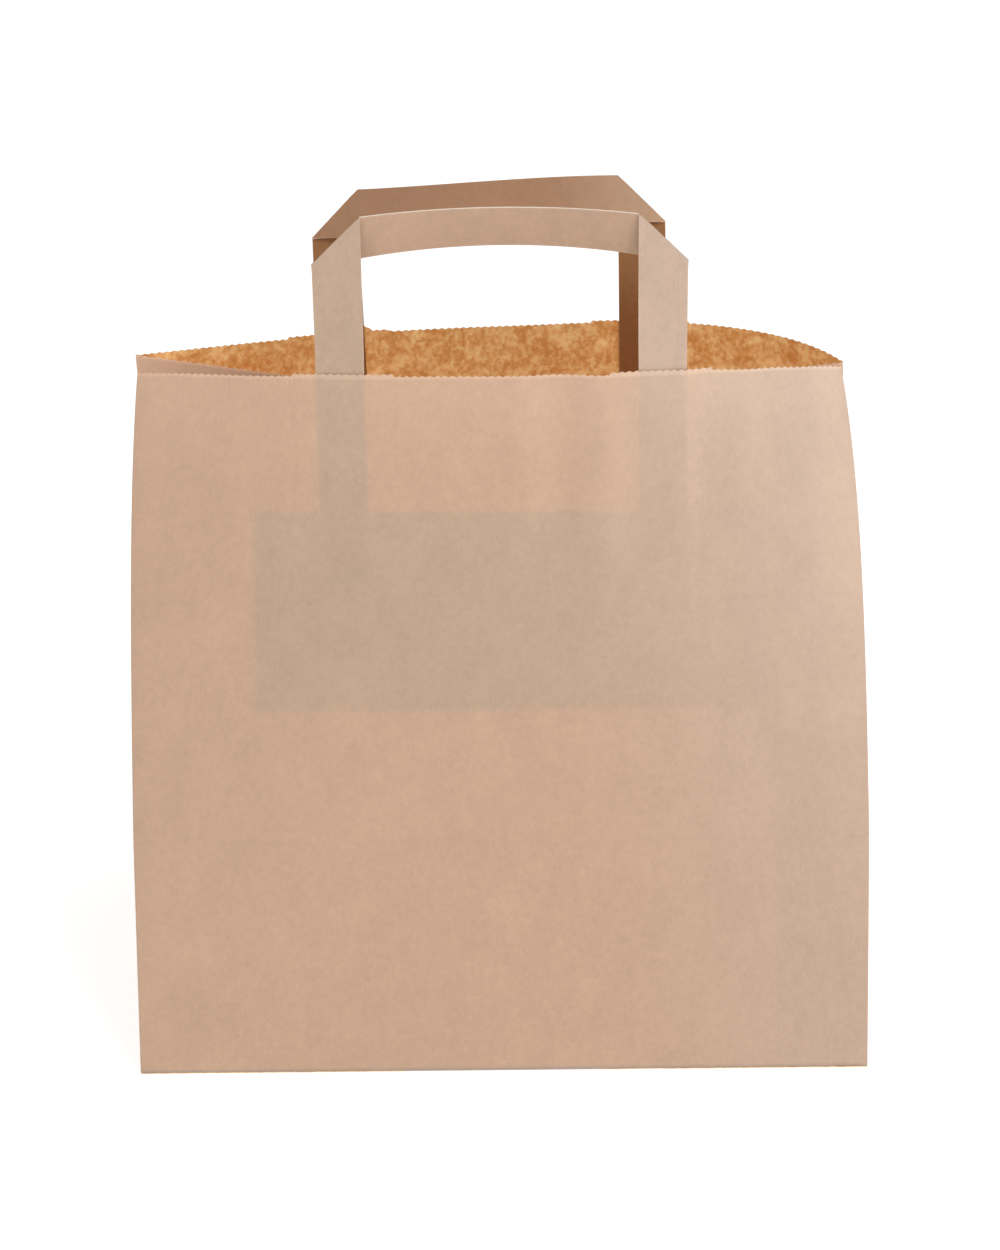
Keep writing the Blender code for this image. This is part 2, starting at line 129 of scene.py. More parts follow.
HALF_WIDTH = PANEL_WIDTH / 2
HALF_GUSSET = GUSSET_WIDTH / 2
FLOOR_HEIGHT = 2 * PAPER
HALF_STRIP = STRIP_WIDTH / 2
STRIP_DEPTH = PAPER + GLUE_GAP + STRIP_THICKNESS / 2

# Depths of a sheet's two faces behind its drawn surface
ONE_PLY = (0.0, PAPER)
TWO_PLIES = (0.0, 2 * PAPER)
UNDER_PLY = (PAPER, 2 * PAPER)
STRIP_FACES = (-STRIP_THICKNESS / 2, STRIP_THICKNESS / 2)
PATCH_FACES = (-PAPER / 2, PAPER / 2)

# Each panel's bow outwards at the mouth, how it grows up and across the panel, and its lean to +X
PANEL_SHAPE = {
    FRONT: (FRONT_BOW, FRONT_BOW_POWER, FRONT_CROWN_POWER, FRONT_SKEW),
    BACK: (BACK_BOW, BACK_BOW_POWER, BACK_CROWN_POWER, BACK_SKEW),
}
# How much wider or narrower than the solid each panel ends at the mouth, as a share of its width
SPAN_CHANGE = {FRONT: 0.006, BACK: -0.004}
SPAN_CHANGE_POWER = 4
# How a leg of the photograph differs from its solid: its foot and its top toward +X, and its height.
# The key is its panel, and the way to the handle's middle as that panel's outside shows it
LEG_CHANGE = {
    (FRONT, 1): (0.0, 0.0, 0.0), (FRONT, -1): (0.0, 0.0, 0.0),
    (BACK, -1): (0.0014, 0.0008, -0.0015), (BACK, 1): (0.0, -0.0004, -0.0004),
}
# How much higher the middle of a bar is than its solid, and how far it leans out from the bag
BAR_RISE = {FRONT: 0.0010, BACK: 0.0}
BAR_LEAN = {FRONT: 0.13, BACK: 0.0}
# How far a leg leans out at its top, and how far the fold above it is open
LEG_TILT = {FRONT: math.radians(2.7), BACK: math.radians(12.0)}
FOLD_OPENING = {FRONT: math.radians(22.8), BACK: math.radians(20.5)}

# Soft upright bends of the upper panels: place across, half width and height in metres
BENDS = {
    FRONT: (
        (-0.084, 0.012, 0.0006), (-0.020, 0.014, -0.0005), (0.0215, 0.0075, -0.0012),
        (0.0370, 0.0070, 0.0013), (0.0655, 0.0050, 0.0006), (0.0755, 0.0060, -0.0008),
        (0.0880, 0.0060, 0.0009), (0.1100, 0.0090, 0.0006),
    ),
    BACK: ((-0.050, 0.012, 0.0005), (0.012, 0.016, -0.0006), (0.070, 0.014, 0.0006)),
}
BENDS_END = {FRONT: 0.140, BACK: 0.150}
BENDS_GROW = 0.085

# A slant in the back panel's edge beside its left leg, as the photograph shows
SLANT_START = -0.0445
SLANT_END = -0.0600
SLANT_LENGTH = 0.0042
SLANT_RISE = 0.0034

# The camera, in metres and degrees, with its focal length in picture heights
CAMERA_DISTANCE = 1.164
CAMERA_ELEVATION = 23.206
CAMERA_HEADING = -0.424
CAMERA_ROLL = -0.792
CAMERA_FOCAL = 3198 / 1250
CAMERA_AIM = (0.0002, 0.0, 0.1369)


def lerp(start, end, share):
    return start + (end - start) * share


def smoothed(share):
    """A share from 0 to 1 with a soft start and end."""
    return share * share * (3 - 2 * share)


def unit(vector):
    return vector / np.linalg.norm(vector)


def spaced(start, end, step):
    """Evenly spaced values from start to end, as near to step apart as fits."""
    count = max(1, round(abs(end - start) / step))
    return [lerp(start, end, index / count) for index in range(count + 1)]


# The paper's shape


def panel_distance(side, u, v):
    """Distance of a panel from the middle plane, for arrays of u across and v up the paper."""
    crease = HALF_GUSSET * (1.0 - math.sin(LOWER_LEAN))
    mouth = lerp(LEFT_CORNER_GAP, RIGHT_CORNER_GAP, u / PANEL_WIDTH + 0.5) / 2
    low = lerp(HALF_GUSSET, crease, v / HALF_GUSSET)
    high = lerp(crease, mouth, (v - HALF_GUSSET) / (BAG_HEIGHT - HALF_GUSSET))
    fold = np.where(v < HALF_GUSSET, low, high)
    depth, bow_power, crown_power, skew = PANEL_SHAPE[side]
    crown = 1.0 - np.abs(u / HALF_WIDTH) ** crown_power
    bow = depth * (v / BAG_HEIGHT) ** bow_power * (1.0 + skew * u / HALF_WIDTH)
    belly = PANEL_BELLY * np.sin(math.pi * np.clip(v / BAG_HEIGHT, 0.0, 1.0))
    return fold + crown * (bow + belly)


class PanelTable:
    """A panel's places on a fine grid, worked out so that the paper keeps its length and width."""

    def __init__(self, side):
        half_count = round(HALF_WIDTH / TABLE_STEP)
        self.u = np.arange(-half_count, half_count + 1) * TABLE_STEP
        self.v = np.arange(0, round((BAG_HEIGHT + TABLE_PAST_EDGE) / TABLE_STEP) + 1) * TABLE_STEP
        grid_u, grid_v = np.meshgrid(self.u, self.v, indexing="ij")
        distance = panel_distance(side, grid_u, grid_v)
        along = np.sqrt(TABLE_STEP**2 - np.diff(distance, axis=1) ** 2)
        rise = np.concatenate([np.zeros((len(self.u), 1)), np.cumsum(along, axis=1)], axis=1)
        across = np.sqrt(np.maximum(TABLE_STEP**2 - np.diff(distance, axis=0) ** 2, 0.0))
        span = np.concatenate([np.zeros((1, len(self.v))), np.cumsum(across, axis=0)], axis=0)
        widened = 1.0 + SPAN_CHANGE[side] * (grid_v / BAG_HEIGHT) ** SPAN_CHANGE_POWER
        span = (span - span[half_count]) * widened
        self.values = np.stack([span, distance, rise], axis=-1)

    def read(self, u, v):
        """Span, distance and rise at one place, between the grid's points."""
        col = min(max((u - self.u[0]) / TABLE_STEP, 0.0), len(self.u) - 1.001)
        row = min(max(v / TABLE_STEP, 0.0), len(self.v) - 1.001)
        i, j = int(col), int(row)
        a, b = col - i, row - j
        grid = self.values
        low = grid[i, j] * (1 - b) + grid[i, j + 1] * b
        high = grid[i + 1, j] * (1 - b) + grid[i + 1, j + 1] * b
        return low * (1 - a) + high * a


TABLE = {side: PanelTable(side) for side in (FRONT, BACK)}


def paper_bends(side, u, v):
    """How far the paper stands out from its smooth shape: soft upright bends in its upper part."""
    if v < BENDS_END[side]:
        return 0.0
    rise = min((v - BENDS_END[side]) / BENDS_GROW, 1.0)
    total = 0.0
    for place, width, height in BENDS[side]:
        total += height * math.exp(-(((u - place) / width) ** 2))
    return total * smoothed(rise)


def panel_point(side, u, v):
    """A point of a panel's outer face."""
    span, distance, rise = TABLE[side].read(u, v)
    distance += paper_bends(side, u, v)
    return np.array([span, side * distance, FLOOR_HEIGHT + rise])


def panel_frame(side, u, v):
    """A panel point with its directions across (+X side), up the paper and into the bag."""
    nudge = 0.001
    here = panel_point(side, u, v)
    across = unit(panel_point(side, u + nudge, v) - panel_point(side, u - nudge, v))
    up = unit(panel_point(side, u, v) - panel_point(side, u, v - nudge))
    inward = unit(np.cross(across, up)) * side
    return here, across, up, inward


def panel_layer(side, u, v, depth):
    """A point that lies depth behind a panel's outer face."""
    here, _, _, inward = panel_frame(side, u, v)
    return here + inward * depth


def gusset_apex(right):
    """Where a gusset's centre crease ends above the base, inside the bag."""
    fold = panel_point(FRONT, right * HALF_WIDTH, HALF_GUSSET)
    rise = fold[2] - FLOOR_HEIGHT
    height = (fold[1] ** 2 + rise**2) / (2 * rise)
    inset = math.sqrt(HALF_GUSSET**2 - height**2)
    return np.array([right * (HALF_WIDTH - inset), 0.0, FLOOR_HEIGHT + height])


def gusset_mouth(right):
    """The top end of a gusset's centre crease, as deep in the bag as half the gusset's width."""
    front = panel_point(FRONT, right * HALF_WIDTH, BAG_HEIGHT)
    apex = gusset_apex(right)
    crease_length = BAG_HEIGHT - HALF_GUSSET
    drop = 0.0
    for _ in range(MOUTH_ROUNDS):
        inset = math.sqrt(HALF_GUSSET**2 - front[1] ** 2 - drop**2)
        x = front[0] - right * inset
        z = apex[2] + math.sqrt(crease_length**2 - (x - apex[0]) ** 2)
        drop = front[2] - z
    return np.array([x, 0.0, z])


APEX = {right: gusset_apex(right) for right in (-1, 1)}
MOUTH = {right: gusset_mouth(right) for right in (-1, 1)}


def gusset_crease(right, side, v):
    """A gusset's inner crease line: up a diagonal from the corner, then up the centre."""
    corner = np.array([right * HALF_WIDTH, side * HALF_GUSSET, FLOOR_HEIGHT])
    half_crease = np.array([0.0, side * CREASE_WIDTH / 2, 0.0])
    if v < HALF_GUSSET:
        return lerp(corner, APEX[right] + half_crease, v / HALF_GUSSET)
    share = (v - HALF_GUSSET) / (BAG_HEIGHT - HALF_GUSSET)
    return lerp(APEX[right], MOUTH[right], share) + half_crease


def gusset_point(right, side, along, v):
    """A point of half a gusset's outer face, along metres of paper from the panel's fold."""
    fold = panel_point(side, right * HALF_WIDTH, v)
    crease = gusset_crease(right, side, v)
    reach = min(v, HALF_GUSSET)
    if reach < 1e-6:
        return fold
    return lerp(fold, crease, min(along / reach, 1.0))


def edge_height(along):
    """Height up the paper of the pinked edge: a zigzag with its tips at the bag's height."""
    phase = (along / TOOTH_PITCH) % 1.0
    return BAG_HEIGHT - TOOTH_DEPTH + TOOTH_DEPTH * (1.0 - abs(2.0 * phase - 1.0))


def leg_centres():
    """Places of a handle's legs across its panel, seen from the panel's outside."""
    reach = (HANDLE_WIDTH - STRIP_WIDTH) / 2
    return HANDLE_SHIFT - reach, HANDLE_SHIFT + reach


def edge_rise(side, u):
    """How much higher than its neighbours the top edge is, beside a handle's legs."""
    local = -side * u
    left, right = leg_centres()
    beside_left = left - HALF_STRIP - RAISED_OUTSIDE < local < left + HALF_STRIP + RAISED_INSIDE
    beside_right = right - HALF_STRIP - RAISED_INSIDE < local < right + HALF_STRIP + RAISED_OUTSIDE
    raised = RAISED_EDGE if beside_left or beside_right else 0.0
    if side == BACK and SLANT_END < u < SLANT_START:
        raised += SLANT_RISE * min((SLANT_START - u) / SLANT_LENGTH, 1.0)
    return raised


def add_object(name, data):
    """A new object in the scene."""
    made = bpy.data.objects.new(name, data)
    bpy.context.scene.collection.objects.link(made)
    return made


# Sheets of paper as meshes


class Sheet:
    """A sheet of paper: one face of it, turned into a closed skin with an outer and an inner side."""

    def __init__(self):
        self.points = []
        self.depths = []
        self.paper = []
        self.faces = []
        self.places = {}

    def vertex(self, point, depths, paper):
        """The vertex at this point, the one already there if there is one."""
        key = tuple(round(float(value) * VERTEX_CELLS) for value in point)
        if key not in self.places:
            self.places[key] = len(self.points)
            self.points.append(point)
            self.depths.append(depths)
            self.paper.append(paper)
        return self.places[key]

    def face(self, *corners):
        """Adds a face, unless too few of its corners lie apart."""
        ring = list(dict.fromkeys(corners))
        if len(ring) > 2:
            self.faces.append(ring)

    def grid(self, rows):
        """Adds the faces between each row of vertices and the next."""
        for low, high in zip(rows, rows[1:]):
            for index in range(len(low) - 1):
                self.face(low[index], low[index + 1], high[index + 1], high[index])

    def fan(self, low_left, low_right, top):
        """Adds the faces between two neighbours of a row and the finer edge above them."""
        middle = len(top) // 2
        for index in range(middle):
            self.face(low_left, top[index + 1], top[index])
        self.face(low_left, low_right, top[middle])
        for index in range(middle, len(top) - 1):
            self.face(low_right, top[index + 1], top[index])

    def inward(self):
        """Each vertex's direction into the sheet, long enough to keep the thickness at a fold."""
        points = np.array(self.points)
        total = np.zeros_like(points)
        normals = []
        for ring in self.faces:
            a, b, c = points[ring[0]], points[ring[len(ring) // 3]], points[ring[2 * len(ring) // 3]]
            normal = np.cross(b - a, c - a)
            length = np.linalg.norm(normal)
            normal = normal / length if length > 1e-15 else normal * 0.0
            normals.append(normal)
            total[ring] += normal
        direction = -total / np.maximum(np.linalg.norm(total, axis=1, keepdims=True), 1e-12)
        agree = np.zeros(len(points))
        count = np.zeros(len(points))
        for ring, normal in zip(self.faces, normals):
            agree[ring] += -(direction[ring] @ normal)
            count[ring] += 1
        agreement = np.clip(agree / np.maximum(count, 1), LEAST_AGREEMENT, 1.0)
        return direction / agreement[:, None]

    def build(self, name, materials):
        """A closed mesh object with the outer, inner and edge materials."""
        inward = self.inward()
        points = np.array(self.points)
        depths = np.array(self.depths)
        outer = points + inward * depths[:, :1]
        inner = points + inward * depths[:, 1:]
        count = len(points)
        edges = {}
        for ring in self.faces:
            for first, second in zip(ring, ring[1:] + ring[:1]):
                key = (min(first, second), max(first, second))
                edges[key] = None if key in edges else (first, second)
        faces = [list(ring) for ring in self.faces]
        faces += [[index + count for index in reversed(ring)] for ring in self.faces]
        rim = [pair for pair in edges.values() if pair]
        faces += [[second, first, first + count, second + count] for first, second in rim]
        mesh = bpy.data.meshes.new(name)
        mesh.from_pydata(np.concatenate([outer, inner]).tolist(), [], faces)
        for material in materials:
            mesh.materials.append(material)
        slots = [0] * len(self.faces) + [1] * len(self.faces) + [2] * len(rim)
        mesh.polygons.foreach_set("material_index", slots)
        paper = mesh.attributes.new("paper", "FLOAT_VECTOR", "POINT")
        paper.data.foreach_set("vector", np.tile(np.array(self.paper), (2, 1)).ravel())
        mesh.shade_smooth()
        mesh.set_sharp_from_angle(angle=SHARP_ANGLE)
        return add_object(name, mesh)


def bezier(start, corner, end, share):
    return start * (1 - share) ** 2 + corner * 2 * share * (1 - share) + end * share**2


def row_levels():
    """Heights up the paper of the walls' rows, closer together round the base's edge."""
    angles = np.linspace(0, math.pi / 2, BASE_EDGE_STEPS + 1)
    base = [BASE_RADIUS * (1 - math.cos(angle)) for angle in angles]
    lower = spaced(BASE_RADIUS, HALF_GUSSET, ROW_STEP)[1:]
    upper = spaced(HALF_GUSSET, BAG_HEIGHT - EDGE_BAND, ROW_STEP)[1:]
    return base + lower + upper


def base_inset(point, v):
    """Rounds the edge round the base, by drawing the lowest rows in."""
    if v >= BASE_RADIUS:
        return point
    inset = BASE_RADIUS - math.sqrt(BASE_RADIUS**2 - (BASE_RADIUS - v) ** 2)
    return point * np.array([1 - inset / HALF_WIDTH, 1 - inset / HALF_GUSSET, 1.0])


def panel_columns(side):
    """Places across a panel between its rounded folds, with the depths of both faces."""
    end = HALF_WIDTH - FOLD_RADIUS
    if side == BACK:
        return [(u, ONE_PLY) for u in spaced(-end, end, COLUMN_STEP)]
    lap_start = HALF_WIDTH - SEAM_TO_FOLD - SEAM_WIDTH
    lap_end = HALF_WIDTH - SEAM_TO_FOLD
    plain = [(u, ONE_PLY) for u in spaced(-end, lap_start, COLUMN_STEP)]
    lapped = [(u, TWO_PLIES) for u in spaced(lap_start + PAPER, lap_end, COLUMN_STEP)]
    under = [(u, UNDER_PLY) for u in spaced(lap_end + SEAM_STEP, end, COLUMN_STEP)]
    return plain + lapped + under[:-1] + [(end, ONE_PLY)]


def edge_points(start, end):
    """Places between two columns where the pinked edge turns, both columns included."""
    half_pitch = TOOTH_PITCH / 2
    margin = TOOTH_MARGIN * half_pitch
    count = math.ceil((start + margin) / half_pitch)
    inner = []
    while count * half_pitch < end - margin:
        inner.append(count * half_pitch)
        count += 1
    return [start] + inner + [end]


def draw_panel(sheet, side):
    """A panel between its folds. Gives its lowest row."""
    columns = panel_columns(side)
    rows = []
    for v in row_levels():
        rows.append([
            sheet.vertex(base_inset(panel_point(side, u, v), v), depths, (u, v, side))
            for u, depths in columns
        ])
    sheet.grid(rows)
    for index in range(len(columns) - 1):
        (start, depths), (end, after) = columns[index], columns[index + 1]
        top = []
        for u in edge_points(start, end):
            v = edge_height(u) + edge_rise(side, u)
            share = (u - start) / (end - start)
            mixed = (lerp(depths[0], after[0], share), lerp(depths[1], after[1], share))
            top.append(sheet.vertex(panel_point(side, u, v), mixed, (u, v, side)))
        sheet.fan(rows[-1][index], rows[-1][index + 1], top)
    return rows[0]


def draw_half_gusset(sheet, right, side):
    """Half a gusset from its fold to its inner crease. Gives its rows."""
    columns = spaced(FOLD_RADIUS, HALF_GUSSET, COLUMN_STEP)
    rows = []
    for v in row_levels():
        spread = max(min(v, HALF_GUSSET) - FOLD_RADIUS, 0.0)
        row = []
        for along in columns:
            squeezed = FOLD_RADIUS + (along - FOLD_RADIUS) * spread / (HALF_GUSSET - FOLD_RADIUS)
            point = base_inset(gusset_point(right, side, squeezed, v), v)
            row.append(sheet.vertex(point, ONE_PLY, (along, v, 0.0)))
        rows.append(row)
    sheet.grid(rows)
    for index in range(len(columns) - 1):
        top = []
        for along in edge_points(columns[index], columns[index + 1]):
            v = edge_height(along)
            top.append(sheet.vertex(gusset_point(right, side, along, v), ONE_PLY, (along, v, 0.0)))
        sheet.fan(rows[-1][index], rows[-1][index + 1], top)
    return rows


def draw_gusset_middle(sheet, halves):
    """The triangle between a gusset's diagonal creases, and the narrow crease above it."""
    shares = spaced(0.0, 1.0, 1.0 / GUSSET_MIDDLE_STEPS)[1:-1]
    half_count = GUSSET_MIDDLE_STEPS // 2
    rows = []
    for v, front_row, back_row in zip(row_levels(), halves[FRONT], halves[BACK]):
        front, back = front_row[-1], back_row[-1]
        if 2 * (HALF_GUSSET - v) > COLUMN_STEP:
            start, end = sheet.points[front], sheet.points[back]
            inner = [
                sheet.vertex(lerp(start, end, share), ONE_PLY, (HALF_GUSSET, v, 0.0))
                for share in shares
            ]
        else:
            inner = [front] * half_count + [back] * (len(shares) - half_count)
        rows.append([front] + inner + [back])
    sheet.grid(rows)


def draw_gusset(sheet, right):
    halves = {side: draw_half_gusset(sheet, right, side) for side in (FRONT, BACK)}
    draw_gusset_middle(sheet, halves)
    v = edge_height(HALF_GUSSET)
    tips = [
        sheet.vertex(gusset_point(right, side, HALF_GUSSET, v), ONE_PLY, (HALF_GUSSET, v, 0.0))
        for side in (FRONT, BACK)
    ]
    sheet.face(halves[FRONT][-1][-1], halves[BACK][-1][-1], tips[1], tips[0])


def draw_fold(sheet, right, side):
    """The rounded fold between a panel and a gusset. Gives its lowest row."""
    top_u = right * (HALF_WIDTH - FOLD_RADIUS)
    top_panel = edge_height(top_u) + edge_rise(side, top_u)
    top_gusset = edge_height(FOLD_RADIUS)
    rows = []
    for v in row_levels() + [None]:
        v_panel = top_panel if v is None else v
        v_gusset = top_gusset if v is None else v
        v_mean = (v_panel + v_gusset) / 2
        reach = min(FOLD_RADIUS, v_gusset)
        start = panel_point(side, top_u, v_panel)
        corner = panel_point(side, right * HALF_WIDTH, v_mean)
        end = gusset_point(right, side, reach, v_gusset)
        row = []
        for share in FOLD_SHARES:
            point = base_inset(bezier(start, corner, end, share), v_mean)
            paper = (top_u, v_panel, side) if share <= 0.5 else (0.0, v_mean, 0.0)
            row.append(sheet.vertex(point, ONE_PLY, paper))
        rows.append(row)
    sheet.grid(rows)
    return rows[0]


def draw_bottom(sheet, panels, folds):
    """The bottom's inner ply, inside the ring of lowest rows."""
    front, back = panels[FRONT], panels[BACK]
    ring = front + folds[(1, FRONT)][1:] + folds[(1, BACK)][::-1] + back[::-1][1:]
    ring += folds[(-1, BACK)][1:] + folds[(-1, FRONT)][::-1][:-1]
    sheet.face(*ring)


def orient(sheet):
    """Turns every face the same way round, outwards, by walking from face to face."""
    by_edge = {}
    for index, ring in enumerate(sheet.faces):
        for first, second in zip(ring, ring[1:] + ring[:1]):
            by_edge.setdefault((min(first, second), max(first, second)), []).append(index)
    seen = {0}
    queue = [0]
    while queue:
        index = queue.pop()
        ring = sheet.faces[index]
        for first, second in zip(ring, ring[1:] + ring[:1]):
            for other in by_edge[(min(first, second), max(first, second))]:
                if other in seen:
                    continue
                theirs = sheet.faces[other]
                pairs = list(zip(theirs, theirs[1:] + theirs[:1]))
                if (first, second) in pairs:
                    theirs.reverse()
                seen.add(other)
                queue.append(other)


def plate(name, outline, bottom, top, material):
    """A thin flat flap of paper."""
    count = len(outline)
    points = [(x, y, bottom) for x, y in outline] + [(x, y, top) for x, y in outline]
    faces = [list(range(count))[::-1], list(range(count, 2 * count))]
    for index in range(count):
        after = (index + 1) % count
        faces.append([index, after, after + count, index + count])
    mesh = bpy.data.meshes.new(name)
    mesh.from_pydata(points, [], faces)
    mesh.materials.append(material)
    return add_object(name, mesh)


def bottom_flaps(outside, inside):
    """The block bottom's flaps: front over back outside, gusset ends inside."""
    wide = HALF_WIDTH - BASE_RADIUS
    deep = HALF_GUSSET - BASE_RADIUS
    lap = FLAP_LAP / 2
    narrow = wide - deep - lap
    front = [(-wide, -deep), (wide, -deep), (narrow, lap), (-narrow, lap)]
    back = [(wide, deep), (-wide, deep), (-narrow, -lap), (narrow, -lap)]
    flaps = [
        plate("front_flap", front, 0.0, PAPER * FLAP_PLY, outside),
        plate("back_flap", back, PAPER, PAPER * (1 + FLAP_PLY), outside),
    ]
    clear = 3 * PAPER
    reach = HALF_GUSSET - clear
    low = FLOOR_HEIGHT + PAPER * (2 - FLAP_PLY)
    for right in (-1, 1):
        outer_end = right * (HALF_WIDTH - clear)
        inner_end = right * (HALF_WIDTH - HALF_GUSSET - lap)
        outline = [(outer_end, -reach), (inner_end, -reach), (inner_end, reach), (outer_end, reach)]
        if right < 0:
            outline.reverse()
        flaps.append(plate("gusset_flap", outline, low, low + PAPER, inside))
    return flaps


# The handles


def leg_path(side, centre, foot, height, lean):
    """A leg above the bag's edge, as frames of place, across and up directions."""
    here, across, up, inward = panel_frame(side, -side * centre + foot, BAG_HEIGHT)
    place = here + inward * STRIP_DEPTH
    across_end = np.array([1.0, 0.0, 0.0])
    up_end = np.array([0.0, side * math.sin(LEG_TILT[side]), math.cos(LEG_TILT[side])])
    aside = np.array([lean, 0.0, 0.0])
    step = height / LEG_STEPS
    frames = []
    for index in range(LEG_STEPS + 1):
        share = index / LEG_STEPS
        turned_up = unit(lerp(up, up_end, share) + aside)
        turned_across = lerp(across, across_end, share)
        turned_across = unit(turned_across - turned_up * np.dot(turned_across, turned_up))
        frames.append((place, turned_across, turned_up))
        place = place + turned_up * step
    return frames


def strip_row(sheet, outer, inner, along, kind):
    """A row of vertices across a strip, from its outer rim to its inner one."""
    return [
        sheet.vertex(lerp(outer, inner, share), STRIP_FACES, (share, along, kind))
        for share in STRIP_SHARES
    ]


def draw_leg(sheet, side, inner_sign, centre):
    """A leg from its glued foot to its slanted fold.

    Gives the fold's row, its low and high ends, and the directions to the bar, up and into the bag.
    """
    foot, top, height_change = LEG_CHANGE[(side, inner_sign)]
    height = LEG_RISE + height_change
    lean = (top - foot) / height
    outer_u = -side * (centre - inner_sign * HALF_STRIP) + foot
    inner_u = -side * (centre + inner_sign * HALF_STRIP) + foot
    rows = []
    for v in spaced(BAG_HEIGHT - LEG_GLUED, BAG_HEIGHT, GLUED_ROW_STEP)[:-1]:
        aside = lean * (v - BAG_HEIGHT)
        outer = panel_layer(side, outer_u + aside, v, STRIP_DEPTH)
        inner = panel_layer(side, inner_u + aside, v, STRIP_DEPTH)
        rows.append(strip_row(sheet, outer, inner, v - BAG_HEIGHT, LEG))
    for index, (place, across, up) in enumerate(leg_path(side, centre, foot, height, lean)):
        to_bar = across * -side * inner_sign
        outer = place - to_bar * HALF_STRIP
        inner = place + to_bar * HALF_STRIP
        rows.append(strip_row(sheet, outer, inner, height * index / LEG_STEPS, LEG))
    tip = inner + up * STRIP_WIDTH
    for share in STRIP_SHARES[1:]:
        start = lerp(outer, tip, share)
        end = lerp(inner, tip, share)
        rows.append(strip_row(sheet, start, end, height + STRIP_WIDTH * share, LEG))
    sheet.grid(rows)
    fold_row = [row[0] for row in rows[-STRIP_STEPS - 1:]]
    inward = unit(np.cross(across, up)) * side
    return fold_row, outer, tip, (to_bar, up, inward)


def draw_turn(sheet, side, fold_row, fold_low, fold_high, directions):
    """The bar's end behind a leg's slanted fold. Gives where the bar leaves it, along and across."""
    to_bar, up, inward = directions
    set_back = inward * (FOLD_SPACE + STRIP_THICKNESS)
    opened = (1.0 - math.cos(FOLD_OPENING[side])) / 2
    swing = math.sin(FOLD_OPENING[side]) / math.sqrt(2.0)
    along = (1.0 - opened) * to_bar + swing * inward + opened * up
    cross = opened * to_bar - swing * inward + (1.0 - opened) * up
    bar_low = fold_low + set_back
    bar_tip = fold_high + set_back
    rows = [[
        sheet.vertex(lerp(bar_low, bar_tip, high), STRIP_FACES, (high, -high * STRIP_WIDTH, BAR))
        for high in STRIP_SHARES
    ]]
    sheet.grid([fold_row, rows[0]])
    low_start = bar_low + along * STRIP_WIDTH
    for share in STRIP_SHARES[1:]:
        row = []
        for high in STRIP_SHARES:
            start = lerp(bar_low, bar_tip, high)
            end = low_start + cross * STRIP_WIDTH * high
            paper = (high, (share - 1.0) * STRIP_WIDTH, BAR)
            row.append(sheet.vertex(lerp(start, end, share), STRIP_FACES, paper))
        rows.append(row)
    sheet.grid(rows)
    return low_start, along, cross


def draw_bar(sheet, side, bar_ends):
    """The bowed bar between its two turned ends."""
    (start, leaving, start_cross), (end, arriving, end_cross) = bar_ends
    reach = np.linalg.norm(end - start)
    rows = []
    for index in range(BAR_STEPS + 1):
        share = index / BAR_STEPS
        bend = reach * share * (1.0 - share) * (leaving * (1.0 - share) + arriving * share)
        middle = 4.0 * share * (1.0 - share)
        rise = np.array([0.0, 0.0, BAR_RISE[side] * middle])
        low = lerp(start, end, smoothed(share)) + bend + rise
        outward = np.array([0.0, side * BAR_LEAN[side] * middle, 0.0])
        cross = unit(lerp(start_cross, end_cross, share) + outward)
        rows.append(strip_row(sheet, low, low + cross * STRIP_WIDTH, share * reach, BAR))
    sheet.grid(rows)


def make_handle(name, side, materials):
    """A folded strip: two legs glued inside a panel and a bar turned over between them."""
    sheet = Sheet()
    bar_ends = []
    for inner_sign, centre in zip((1, -1), leg_centres()):
        leg = draw_leg(sheet, side, inner_sign, centre)
        bar_ends.append(draw_turn(sheet, side, *leg))
    draw_bar(sheet, side, bar_ends)
    orient(sheet)
    return sheet.build(name, materials)


def patch_depth(side, local_u, v):
    """Depth of a patch's middle behind its panel's face, deeper where it covers a leg."""
    flat = PAPER + GLUE_GAP + PAPER / 2
    raised = flat + STRIP_THICKNESS + GLUE_GAP
    half = HALF_STRIP + GLUE_GAP
    beside = min(
        abs(-side * (local_u - centre) - LEG_CHANGE[(side, inner_sign)][0])
        for inner_sign, centre in zip((1, -1), leg_centres())
    )
    below = (BAG_HEIGHT - LEG_GLUED - GLUE_GAP) - v
    away = max(beside - half, below, 0.0)
    return lerp(raised, flat, smoothed(min(away / PATCH_RAMP, 1.0)))


def make_patch(name, side, materials):
    """The rectangle glued inside a panel over the legs' ends."""
    sheet = Sheet()
    low_u = PATCH_SHIFT - PATCH_WIDTH / 2
    high_u = PATCH_SHIFT + PATCH_WIDTH / 2
    top = BAG_HEIGHT - PATCH_BELOW_EDGE
    rows = []
    for v in spaced(top - PATCH_HEIGHT, top, PATCH_ROW_STEP):
        row = []
        for local_u in spaced(low_u, high_u, PATCH_COLUMN_STEP):
            u = -side * local_u
            point = panel_layer(side, u, v, patch_depth(side, local_u, v))
            row.append(sheet.vertex(point, PATCH_FACES, (u, v, side)))
        rows.append(row)
    sheet.grid(rows)
    orient(sheet)
    return sheet.build(name, materials)


def make_bag(materials):
    """The bag's one sheet: panels, gussets, the folds between them and the bottom."""
    sheet = Sheet()
    panels = {side: draw_panel(sheet, side) for side in (FRONT, BACK)}
    folds = {}
    for right in (-1, 1):
        draw_gusset(sheet, right)
        for side in (FRONT, BACK):
            folds[(right, side)] = draw_fold(sheet, right, side)
    draw_bottom(sheet, panels, folds)
    orient(sheet)
    return sheet.build("bag_paper", materials)


# Materials


